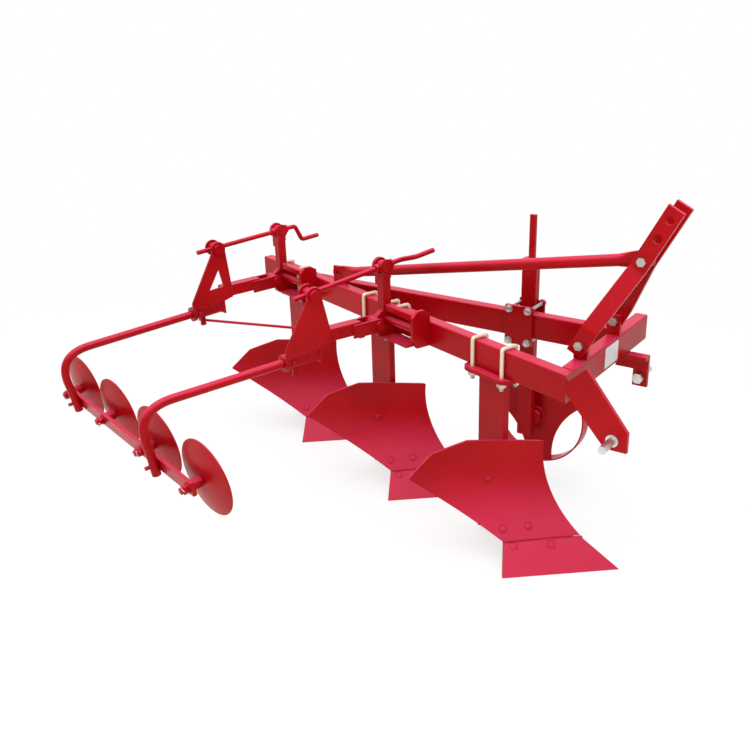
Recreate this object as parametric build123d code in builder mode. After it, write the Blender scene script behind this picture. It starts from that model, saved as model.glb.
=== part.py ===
from build123d import *
import os
from math import atan2, cos, degrees, hypot, radians, sin, tan

# Mounted mouldboard plough with a trailing gang of discs.
# +X is forward, to the tractor; +Y is left, the unploughed land; Z = 0 is the floor under the shares.

os.makedirs("parts", exist_ok=True)

body_count = 3
body_spacing = 555       # along the diagonal beam
first_leg = 297

# Frame of rectangular tubes: its right front corner, and the diagonal beam that carries the bodies
frame_front = 797.49
frame_right = 30.56
beam_top = 625
beam_height = 80
beam_width = 40
beam_angle = 18.7
diagonal_length = 1617
cross_length = 584
land_beam_lead = 150      # the land beam meets the diagonal beam this far ahead of the last leg
edge_round = 5           # on the tubes' corners
plate = 12               # lugs, mast bars and hitch plates
fit = 0.1                # radial clearance of a turning pin
slack = 0.5              # round a bolt in its hole

# Plough bodies
leg_width = 105
leg_thickness = 22
leg_inset = 12           # from the right face of the beam to the leg
flange_length = 190
flange_width = 92
flange_thickness = 12
u_bolt_pitch = 124
u_bolt_radius = 6
u_bolt_tail = 22

tip_ahead = 131          # first share tip, ahead of the frame's front face
tip_inside = 146         # and inside its right end
share_angle = 40.8       # cutting edge to the line of travel
share_lift = 40
share_length = 343
share_rise = 102         # from the cutting edge to the board, up the slope
share_thickness = 9
share_back = 325
board_thickness = 8
board_gap = 0.4          # seam between board and share
landside_height = 70
landside_length = 400
landside_thickness = 10
frog_thickness = 22
floor_gap = 14           # under the frog

beam_bottom = beam_top - beam_height
slope_sin = sin(radians(beam_angle))
slope_cos = cos(radians(beam_angle))
edge_sin = sin(radians(share_angle))
edge_cos = cos(radians(share_angle))
rearward = Vector(-slope_cos, slope_sin, 0)   # along the diagonal beam
outward = Vector(-slope_sin, -slope_cos, 0)   # square to it, away from the land
up = Vector(0, 0, 1)


def beside_beam(t, out, z=0.0):
    """t runs back along the diagonal beam, out runs right from its right face."""
    corner = Vector(frame_front, frame_right, z)
    return corner + rearward * t + outward * out


def across_beam(t):
    """Upright plane square to the diagonal beam: local x is out, local y is height."""
    return Plane(origin=beside_beam(t, 0), x_dir=outward, z_dir=rearward)


def along_beam(z):
    """Level plane: local x is t, local y is out."""
    return Plane(origin=beside_beam(0, 0, z), x_dir=rearward, z_dir=up)


def side_plane(y):
    """Upright plane along the travel: local x is forward, local y is height; it faces right."""
    return Plane(origin=(0, y, 0), x_dir=(1, 0, 0), z_dir=(0, -1, 0))


def finish(part, name):
    part.label = name
    export_step(part, f"parts/{name}.step")


# The cross beam and the land beam butt against the left face of the diagonal beam
def diagonal_face_x(y):
    return frame_front + (beam_width - (y - frame_right) * slope_cos) / slope_sin


def diagonal_face_y(x):
    return frame_right + (beam_width + (frame_front - x) * slope_sin) / slope_cos


cross_back = frame_front - beam_width
cross_left = frame_right + cross_length
land_right = frame_right + (first_leg + (body_count - 1) * body_spacing - land_beam_lead) * slope_sin
land_left = land_right + beam_width
beam_plans = {
    "diagonal_beam": [
        beside_beam(0, 0),
        beside_beam(diagonal_length, 0),
        beside_beam(diagonal_length, -beam_width),
        (frame_front, diagonal_face_y(frame_front)),
    ],
    "cross_beam": [
        (frame_front, diagonal_face_y(frame_front)),
        (frame_front, cross_left),
        (cross_back, cross_left),
        (cross_back, diagonal_face_y(cross_back)),
    ],
    "land_beam": [
        (cross_back, land_right),
        (cross_back, land_left),
        (diagonal_face_x(land_left), land_left),
        (diagonal_face_x(land_right), land_right),
    ],
}
for name, corners in beam_plans.items():
    with BuildPart() as beam:
        with BuildSketch(Plane.XY.offset(beam_bottom)):
            with BuildLine():
                Polyline(*[tuple(corner)[:2] for corner in corners], close=True)
            make_face()
        extrude(amount=beam_height)
        fillet(beam.edges().filter_by(lambda edge: edge.length > 6 * beam_width), edge_round)
    finish(beam.part, name)

# Mast: two bent flat bars on ears, tied back to the diagonal beam by a brace
ear_spread = 251         # between the middles of the two bars' feet
mast_middle = frame_right + 248.5
ear_width = 40
ear_height = 60
ear_bolt_height = 42
mast_lean = 28
mast_bar_width = 48
mast_gap = 52            # between the bars above the bend
mast_stations = {"foot": -30, "foot_bend": 48, "top_bend": 232, "top": 416}
link_hole_radius = 12.85 # for a top link pin of 25.4 mm
link_holes = [384, 326]
brace_hole = 254
mast_bolt_radius = 8
mast_fold_radius = 30

lean_sin = sin(radians(mast_lean))
lean_cos = cos(radians(mast_lean))
ear_bolt = Vector(frame_front - beam_width / 2, mast_middle, beam_top + ear_bolt_height)
mast_up = Vector(lean_sin, 0, lean_cos)
mast_plane = Plane(origin=ear_bolt, x_dir=(0, 1, 0), z_dir=(lean_cos, 0, -lean_sin))

for side, name in ((-1, "mast_bar_right"), (1, "mast_bar_left")):
    foot = side * ear_spread / 2
    top = side * (mast_gap + plate) / 2
    with BuildPart() as bar:
        with BuildSketch(mast_plane):
            with BuildLine():
                centre = FilletPolyline(
                    (foot, mast_stations["foot"]),
                    (foot, mast_stations["foot_bend"]),
                    (top, mast_stations["top_bend"]),
                    (top, mast_stations["top"]),
                    radius=mast_fold_radius,
                )
            trace(centre, line_width=plate)
        extrude(amount=mast_bar_width / 2, both=True)
        for height, radius in ((0, mast_bolt_radius), (brace_hole, mast_bolt_radius),
                               (link_holes[0], link_hole_radius), (link_holes[1], link_hole_radius)):
            centre = ear_bolt + mast_up * height
            with BuildSketch(side_plane(centre.Y)):
                with Locations((centre.X, centre.Z)):
                    Circle(radius)
            extrude(amount=ear_spread, both=True, mode=Mode.SUBTRACT)
    finish(bar.part, name)

with BuildPart() as ears:
    for side in (-1, 1):
        with BuildSketch(side_plane(mast_middle + side * (ear_spread - plate) / 2)):
            with Locations((ear_bolt.X, beam_top + ear_height / 2)):
                Rectangle(ear_width, ear_height)
            with Locations((ear_bolt.X, ear_bolt.Z)):
                Circle(mast_bolt_radius, mode=Mode.SUBTRACT)
        extrude(amount=side * plate)
finish(ears.part, "mast_ears")

# Bolts through the ears and one through the brace, with spacers that keep the bars apart
mast_bolt_head = 13
mast_bolt_overhang = 20
spacer_radius = 13
spacer_gap = 2           # the brace's end lies askew between the spacers
brace_flat = 10

with BuildPart() as mast_bolts:
    for side in (-1, 1):
        outer = mast_middle + side * (ear_spread / 2 + plate / 2)
        for start, length in ((outer, mast_bolt_head - 3), (outer - side * 2 * plate, 3 - mast_bolt_head)):
            with BuildSketch(side_plane(start)):
                with Locations((ear_bolt.X, ear_bolt.Z)):
                    RegularPolygon(mast_bolt_head, 6)
            extrude(amount=-side * length)
        with BuildSketch(side_plane(outer + side * 8)):
            with Locations((ear_bolt.X, ear_bolt.Z)):
                Circle(mast_bolt_radius)
        extrude(amount=side * (2 * plate + 8 + mast_bolt_overhang))
finish(mast_bolts.part, "mast_foot_bolts")

brace_eye = ear_bolt + mast_up * brace_hole
with BuildPart() as brace_bolt:
    half = mast_gap / 2 + plate
    spacer = (mast_gap - brace_flat) / 2 - spacer_gap
    for start, radius, length in (
        (-half - mast_bolt_overhang, mast_bolt_radius, 2 * half + mast_bolt_overhang + 5),
        (-mast_gap / 2, spacer_radius, spacer),
        (brace_flat / 2 + spacer_gap, spacer_radius, spacer),
    ):
        with BuildSketch(side_plane(mast_middle - start)):
            with Locations((brace_eye.X, brace_eye.Z)):
                Circle(radius)
        extrude(amount=length)
    for start, length in ((-half - mast_bolt_head, mast_bolt_head), (half, mast_bolt_head - 3)):
        with BuildSketch(side_plane(mast_middle - start)):
            with Locations((brace_eye.X, brace_eye.Z)):
                RegularPolygon(mast_bolt_head, 6)
        extrude(amount=length)
finish(brace_bolt.part, "mast_brace_bolt")

# Brace: a tube with both ends pressed flat, from the mast to a lug on the diagonal beam
brace_radius = 17
brace_flat_height = 46
brace_flat_length = 50
brace_press = 60
lug_at = 1105            # along the diagonal beam
lug_out = -20
lug_bolt_height = 38
lug_height = 58
lug_length = 60

brace_front = brace_eye
lug_bolt = beside_beam(lug_at, lug_out, beam_top + lug_bolt_height)
brace_run = lug_bolt - brace_front
brace_length = brace_run.length
brace_side = brace_run.cross(up).normalized()
brace_plane = Plane(origin=brace_front, x_dir=brace_run.normalized(), z_dir=brace_side)


def brace_section(distance):
    return Plane(origin=brace_plane.from_local_coords(Vector(distance, 0, 0)),
                 x_dir=brace_side, z_dir=brace_run.normalized())


with BuildPart() as brace:
    for end, inward in ((0, 1), (brace_length, -1)):
        flat_end = end + inward * brace_flat_length / 2
        with BuildSketch(brace_plane):
            with Locations((end + inward * (brace_flat_length / 2 - brace_flat_height / 4), 0)):
                SlotOverall(brace_flat_length + brace_flat_height / 2, brace_flat_height)
            with Locations((end, 0)):
                Circle(mast_bolt_radius + 2 * slack, mode=Mode.SUBTRACT)
        extrude(amount=brace_flat / 2, both=True)
        with BuildSketch(brace_section(end + inward * brace_flat_length / 2)):
            Rectangle(brace_flat, brace_flat_height)
        with BuildSketch(brace_section(end + inward * (brace_flat_length / 2 + brace_press))):
            Circle(brace_radius)
        loft()
    with BuildSketch(brace_section(brace_flat_length / 2 + brace_press)):
        Circle(brace_radius)
    extrude(amount=brace_length - brace_flat_length - 2 * brace_press)
finish(brace.part, "mast_brace")

with BuildPart() as lug:
    lug_run = Vector(brace_run.X, brace_run.Y, 0).normalized()
    lug_face = lug_bolt + brace_side * (brace_flat / 2)
    with BuildSketch(Plane(origin=(lug_face.X, lug_face.Y, 0), x_dir=lug_run, z_dir=lug_run.cross(up))):
        with Locations((0, beam_top + lug_height / 2)):
            Rectangle(lug_length, lug_height)
        with Locations((0, lug_bolt.Z)):
            Circle(mast_bolt_radius, mode=Mode.SUBTRACT)
    extrude(amount=plate)
finish(lug.part, "brace_lug")

# Lower hitch: a plate at the right end of the cross beam and a bracket under its left end
pin_radius = 11          # category one
pin_shoulder_radius = 17
pin_shoulder = 6
pin_length = 63
pin_nut = 16
right_pin_ahead = 135
right_pin_drop = 149
left_pin_ahead = 36
left_pin_drop = 152
left_pin_from_end = 124  # from the left end of the cross beam to the bracket's outer face
bracket_bar_width = 34
bracket_bar_height = 48

hitch_outline = [(0, -20), (52, 30), (174, -123), (174, -178), (114, -178), (0, -50)]
with BuildPart() as hitch_plate:
    with BuildSketch(side_plane(frame_right)):
        with BuildLine():
            Polyline(*[(frame_front + x, beam_top + z) for x, z in hitch_outline], close=True)
        make_face()
        with Locations((frame_front + right_pin_ahead, beam_top - right_pin_drop)):
            Circle(pin_radius, mode=Mode.SUBTRACT)
    extrude(amount=-plate)
finish(hitch_plate.part, "hitch_plate_right")

bracket_left = cross_left - left_pin_from_end
with BuildPart() as hitch_bracket:
    with BuildSketch(side_plane(bracket_left)):
        with BuildLine():
            drop = beam_bottom - bracket_bar_height
            Polyline(
                (cross_back, beam_bottom),
                (frame_front + left_pin_ahead + 25, beam_bottom),
                (frame_front + left_pin_ahead + 25, beam_top - left_pin_drop - 28),
                (frame_front + left_pin_ahead - 20, beam_top - left_pin_drop - 28),
                (frame_front + left_pin_ahead - 20, drop),
                (cross_back, drop),
                close=True,
            )
        make_face()
        with Locations((frame_front + left_pin_ahead, beam_top - left_pin_drop)):
            Circle(pin_radius, mode=Mode.SUBTRACT)
    extrude(amount=plate)
    with BuildSketch(side_plane(bracket_left)):
        with Locations(((cross_back + frame_front + left_pin_ahead + 25) / 2, beam_bottom - plate / 2)):
            Rectangle(frame_front + left_pin_ahead + 25 - cross_back, plate)
    extrude(amount=bracket_bar_width)
finish(hitch_bracket.part, "hitch_bracket_left")

for name, ahead, drop, inner, side in (
    ("hitch_pin_right", right_pin_ahead, right_pin_drop, frame_right + plate, 1),
    ("hitch_pin_left", left_pin_ahead, left_pin_drop, bracket_left - plate, -1),
):
    with BuildPart() as pin:
        with BuildSketch(side_plane(inner)):
            with Locations((frame_front + ahead, beam_top - drop)):
                Circle(pin_radius)
        extrude(amount=side * (plate + pin_shoulder + pin_length))
        with BuildSketch(side_plane(inner)):
            with Locations((frame_front + ahead, beam_top - drop)):
                RegularPolygon(pin_shoulder_radius, 6)
        extrude(amount=-side * pin_nut)
        with BuildSketch(side_plane(inner - side * plate)):
            with Locations((frame_front + ahead, beam_top - drop)):
                Circle(pin_shoulder_radius)
        extrude(amount=side * pin_shoulder)
    finish(pin.part, name)

# Plough bodies. Along a share, e runs from the tip to the heel and p rises square to it
along_edge = Vector(-edge_cos, -edge_sin, 0)
behind_edge = Vector(-edge_sin, edge_cos, 0)
lift_sin = sin(radians(share_lift))
lift_cos = cos(radians(share_lift))
joint_height = share_rise * lift_sin

# Board sections: station along e, then p and z of the lower, middle and upper point of the front face
board_sections = [
    (60, (82, 58), (160, 205), (158, 372)),
    (340, (76, 58), (152, 205), (172, 384)),
    (610, (45, 58), (120, 235), (155, 372)),
]
board_outline = [(50, 0), (323, 0), (592, 201), (522, 262), (416, 292), (190, 274), (50, 264)]
shin_overhang = 8        # of the board past the landside
frog_outline = [(-452, floor_gap), (-60, floor_gap), (-150, 262), (-330, 262), (-452, 150)]


def share_tip(k):
    return beside_beam(k * body_spacing, 0) + Vector(tip_ahead, tip_inside, 0)


def board_section(tip, station, points, front, back):
    """Closed section between the front face moved forward and the same face moved back."""
    across_edge = Plane(origin=tip + along_edge * station, x_dir=behind_edge, z_dir=along_edge * -1)
    with BuildSketch(across_edge) as section:
        with BuildLine():
            rear = ThreePointArc(*[(p + back, z - back / 3) for p, z in points])
            face = ThreePointArc(*[(p - front, z) for p, z in points])
            Line(rear @ 0, face @ 0)
            Line(rear @ 1, face @ 1)
        make_face()
    return section.sketch


def share_plane(tip, depth):
    """Face of the share, or a plane behind it by the given depth."""
    slope = behind_edge * lift_cos + up * lift_sin
    normal = along_edge.cross(slope)
    return Plane(origin=tip + normal * depth, x_dir=along_edge, z_dir=normal)


def clear_front(tip):
    """Cuts away what would stand in front of the backs of the board and the share."""
    cover = [board_section(tip, at, points, 320, board_thickness) for at, *points in board_sections]
    loft(cover, mode=Mode.SUBTRACT)
    with BuildSketch(share_plane(tip, share_thickness)) as share_cover:
        with Locations((share_length / 2, (share_rise + 6) / 2 - 30)):
            Rectangle(2 * share_length, share_rise + 6 + 60)
    extrude(share_cover.sketch, amount=-300, mode=Mode.SUBTRACT)


for k in range(body_count):
    tip = share_tip(k)
    leg_at = first_leg + k * body_spacing

    with BuildPart() as board:
        loft([board_section(tip, at, points, 0, board_thickness) for at, *points in board_sections])
        seam = tip + up * (joint_height + board_gap)
        with BuildSketch(Plane(origin=seam, x_dir=along_edge, z_dir=behind_edge)):
            with BuildLine():
                Polyline(*board_outline, close=True)
            make_face()
        extrude(amount=share_length, mode=Mode.INTERSECT)
        split(bisect_by=side_plane(tip.Y + shin_overhang), keep=Keep.TOP)
    finish(board.part, f"mouldboard_{k + 1}")

    with BuildPart() as share:
        land_edge = share_rise * lift_cos * edge_cos / edge_sin
        with BuildSketch(share_plane(tip, 0)):
            with BuildLine():
                corners = (0, 0), (share_length, 0), (share_back, share_rise), (land_edge, share_rise)
                Polyline(*corners, close=True)
            make_face()
        extrude(amount=share_thickness)
        split(bisect_by=Plane.XY, keep=Keep.TOP)
        split(bisect_by=side_plane(tip.Y), keep=Keep.TOP)
    finish(share.part, f"share_{k + 1}")

    with BuildPart() as landside:
        with BuildSketch(side_plane(tip.Y)):
            with BuildLine():
                Polyline(
                    (tip.X - landside_length - 30, 0),
                    (tip.X - 30, 0),
                    (tip.X - 30, landside_height),
                    (tip.X - landside_length - 30, landside_height),
                    close=True,
                )
            make_face()
        extrude(amount=landside_thickness)
        clear_front(tip)
    finish(landside.part, f"landside_{k + 1}")

    with BuildPart() as leg:
        with BuildSketch(along_beam(beam_bottom)):
            with Locations((leg_at, -beam_width / 2)):
                RectangleRounded(flange_length, flange_width, flange_width / 3)
            bolt_out = u_bolt_radius + slack
            with Locations(
                *[
                    (leg_at + end * u_bolt_pitch / 2, out)
                    for end in (-1, 1)
                    for out in (bolt_out, -beam_width - bolt_out)
                ]
            ):
                Circle(u_bolt_radius + slack, mode=Mode.SUBTRACT)
        extrude(amount=-flange_thickness)
        with BuildSketch(along_beam(floor_gap)):
            with Locations((leg_at, -leg_inset - leg_thickness / 2)):
                Rectangle(leg_width, leg_thickness)
        extrude(amount=beam_bottom - flange_thickness - floor_gap)
        with BuildSketch(side_plane(tip.Y - landside_thickness)):
            with BuildLine():
                Polyline(*[(tip.X + x, z) for x, z in frog_outline], close=True)
            make_face()
        extrude(amount=frog_thickness)
        with BuildSketch(side_plane(tip.Y + 60)):
            with Locations((tip.X - 300, landside_height / 2)):
                Rectangle(700, landside_height)
        extrude(amount=60 + landside_thickness, mode=Mode.SUBTRACT)
        clear_front(tip)
    finish(leg.part, f"leg_{k + 1}")

with BuildPart() as u_bolts:
    near = u_bolt_radius + slack
    far = -beam_width - near
    foot = beam_bottom - flange_thickness - u_bolt_tail
    crown = beam_top + u_bolt_radius
    for k in range(body_count):
        for end in (-1, 1):
            place = across_beam(first_leg + k * body_spacing + end * u_bolt_pitch / 2)
            with BuildLine(place) as bend:
                FilletPolyline((near, foot), (near, crown), (far, crown), (far, foot), radius=near)
            with BuildSketch(Plane(origin=bend.line @ 0, z_dir=bend.line % 0)):
                Circle(u_bolt_radius)
            sweep(path=bend.line)
finish(u_bolts.part, "leg_u_bolts")

# Gauge wheel: a post that slides in a sleeve clamped to the land beam
post_x = frame_front - 349
post_width = 56
post_depth = 40
post_gap = 0.3           # sliding post in its sleeve
post_top = 160           # heights from the beam's top face
post_foot = -445
post_bar_top = 298
clamp_half_width = 52
clamp_top = 24
clamp_bottom = -104
clamp_bolt_radius = 6
clamp_bolt_x = 38
clamp_bolt_heights = (12, -92)
wheel_x = frame_front - 323
wheel_z = beam_top - 386
wheel_radius = 169
wheel_width = 45
wheel_rim = 8
wheel_web = 6
wheel_axle_radius = 14
wheel_hub_radius = 30
wheel_gap = 10           # from the post to the rim

post_right = land_left + plate
post_left = post_right + post_depth
sleeve_left = post_left + 10
wheel_right = post_left + wheel_gap
wheel_left = wheel_right + wheel_width

with BuildPart() as clamp:
    with BuildSketch(side_plane(land_right)):
        with Locations((post_x, beam_top + (clamp_top + clamp_bottom) / 2)):
            Rectangle(2 * clamp_half_width, clamp_top - clamp_bottom)
    extrude(amount=plate)
    bolts = [
        (post_x + side * clamp_bolt_x, beam_top + height)
        for side in (-1, 1)
        for height in clamp_bolt_heights
    ]
    with BuildSketch(side_plane(sleeve_left)):
        with Locations(*bolts):
            Circle(clamp_bolt_radius)
    extrude(amount=sleeve_left - land_right)
    with BuildSketch(side_plane(land_right - plate)):
        with Locations(*bolts):
            RegularPolygon(11, 6)
    extrude(amount=10)
finish(clamp.part, "wheel_clamp")

with BuildPart() as sleeve:
    with BuildSketch(Plane.XY.offset(beam_top + clamp_bottom)):
        with Locations((post_x, (land_left + sleeve_left) / 2)):
            Rectangle(2 * clamp_half_width, sleeve_left - land_left)
        with Locations((post_x, (post_right + post_left) / 2)):
            Rectangle(post_width + 2 * post_gap, post_depth + 2 * post_gap, mode=Mode.SUBTRACT)
    extrude(amount=clamp_top - clamp_bottom)
    with BuildSketch(side_plane(sleeve_left)):
        with Locations(*bolts):
            Circle(clamp_bolt_radius)
    extrude(amount=sleeve_left - land_left, mode=Mode.SUBTRACT)
finish(sleeve.part, "wheel_sleeve")

with BuildPart() as post:
    with BuildSketch(Plane.XY.offset(beam_top + post_foot)):
        with Locations((post_x, (post_right + post_left) / 2)):
            Rectangle(post_width, post_depth)
    extrude(amount=post_top - post_foot)
    with BuildSketch(Plane.XY.offset(beam_top + post_top)):
        with Locations((post_x - 6, post_right + 8)):
            Rectangle(30, 12)
    extrude(amount=post_bar_top - post_top)
    with BuildSketch(side_plane(post_left - 1)):
        with Locations((wheel_x, wheel_z)):
            Circle(wheel_axle_radius)
    extrude(amount=-(wheel_gap + wheel_width + 10))
    with BuildSketch(side_plane(wheel_left + 2)):
        with Locations((wheel_x, wheel_z)):
            Circle(wheel_axle_radius + 8)
    extrude(amount=-6)
finish(post.part, "wheel_post")

with BuildPart() as wheel:
    with BuildSketch(side_plane(wheel_right)):
        with Locations((wheel_x, wheel_z)):
            Circle(wheel_radius)
            Circle(wheel_radius - wheel_rim, mode=Mode.SUBTRACT)
    extrude(amount=-wheel_width)
    with BuildSketch(side_plane(wheel_right + (wheel_width - wheel_web) / 2)):
        with Locations((wheel_x, wheel_z)):
            Circle(wheel_radius - wheel_rim / 2)
            with PolarLocations(0.56 * wheel_radius, 4, 45):
                RectangleRounded(70, 84, 14, mode=Mode.SUBTRACT)
    extrude(amount=-wheel_web)
    with BuildSketch(side_plane(wheel_right - 5)):
        with Locations((wheel_x, wheel_z)):
            Circle(wheel_hub_radius)
    extrude(amount=-(wheel_width + 5))
    with BuildSketch(side_plane(wheel_right - 10)):
        with Locations((wheel_x, wheel_z)):
            Circle(wheel_axle_radius + fit)
    extrude(amount=-(wheel_width + 20), mode=Mode.SUBTRACT)
finish(wheel.part, "gauge_wheel")

# Adjusters: two cranked arms hinge on brackets and carry the gang of discs
arm_lead = 112           # the front arm, ahead of the second leg
arm_spacing = 658
front_arm = first_leg + body_spacing - arm_lead
rear_arm = front_arm + arm_spacing
adjusters = [
    {"name": "front", "at": front_arm, "droop": 0, "slide": 0, "eye": (232, 144), "grip_turn": 14},
    {"name": "rear", "at": rear_arm, "droop": 2.1, "slide": 21, "eye": (216, 166), "grip_turn": -90},
]
pivot = (85, -33)        # out from the beam, height from its top face
post_trunnion = (45, 148)
arm_post_size = 30
post_reach = 128         # above the beam
arm_pivot_radius = 10
knuckle_radius = 22
knuckle_width = 38
near_rib = [(plate, -78), (plate, 10), (57, 10), (85, -11), (85, -55), (72, -78)]
near_rib_width = 20
far_rib = [(0, -76), (0, 30), (22, 42), (46, 42), (66, 24), (66, -50), (50, -76)]
rail_length = 175        # from the arm to the front face of the far rib
rail_size = (24, 22)
rail_places = [(42, 17), (42, -24)]
cheek_thickness = 8
eye_thickness = 12
post_eye_radius = 25
trunnion_pin_radius = 12.5
trunnion_radius = 18.5
trunnion_half = 13
trunnion_gap = 2
screw_radius = 8
screw_hole_radius = 10
screw_reach = 330        # out from the post trunnion
screw_tail = 67
screw_collar_radius = 14
crank_throw = 56
crank_set = 22
crank_grip = 70
crank_bend = 14

# Points of an arm are measured out and up from its pivot, before the arm droops
arm_eye_radius = 27
square_tube = 40
tube_span = (63, 215)
tube_middle = 6
web_front = -30          # of the web's face, along the beam from the arm's middle
web_thickness = 10
web_outline = [(339, -2), (338, -52), (218, -47), (182, -14), (182, 28)]
web_shoulders = [(-24, -19), (23, -12)]
window_outline = [(224, 96), (269, 26), (213, 31)]
window_hole = (239, 73)
window_hole_radius = 4
sleeve_radius = 22
sleeve_length = 120
end_plate_height = 56
collar_radius = 31
collar_width = 16
arm_tube_radius = 13.5
arm_tube_bend = 54
arm_tube_path = [(218, -46), (777, -72), (775, -200), (763, -282)]
bar_seat = 0.61          # of the way down the last length of the tube
tie_radius = 4.75
tie_lug = (297, -82)
tie_tab = (35, -32)
tie_lug_size = (18, 38)
tie_overhang = 16


def across(at, offset=0.0):
    """Upright plane square to the diagonal beam whose local y starts at the beam's top face."""
    return Plane(origin=beside_beam(at + offset, 0, beam_top), x_dir=outward, z_dir=rearward)


def arm_side(arm, offset=0.0):
    """Upright plane of an arm: its origin is the pivot and local x runs out along the drooping arm."""
    droop = radians(arm["droop"])
    origin = across(arm["at"], offset).from_local_coords(Vector(*pivot))
    return Plane(origin=origin, x_dir=outward * cos(droop) - up * sin(droop), z_dir=rearward)


def rod_between(plane, points, radius, length, mode=Mode.ADD):
    with BuildSketch(plane) as ends:
        with Locations(*points):
            Circle(radius)
    extrude(ends.sketch, amount=length, mode=mode)


def tube_points(arm):
    """Corners of the arm's bent tube, slid out in its sleeve."""
    (x0, y0), (x1, y1) = arm_tube_path[:2]
    way = Vector(x1 - x0, y1 - y0).normalized() * arm["slide"]
    return [arm_side(arm).from_local_coords(Vector(x, y) + way) for x, y in arm_tube_path]


tie_start = arm_side(adjusters[1]).from_local_coords(Vector(*tie_lug))
tie_end = arm_side(adjusters[0], square_tube / 2 + cheek_thickness / 2).from_local_coords(Vector(*tie_tab))
tie_way = (tie_end - tie_start).normalized()
tie_plane = Plane(origin=tie_start - tie_way * tie_overhang, z_dir=tie_way)
tie_length = (tie_end - tie_start).length + 2 * tie_overhang

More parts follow.
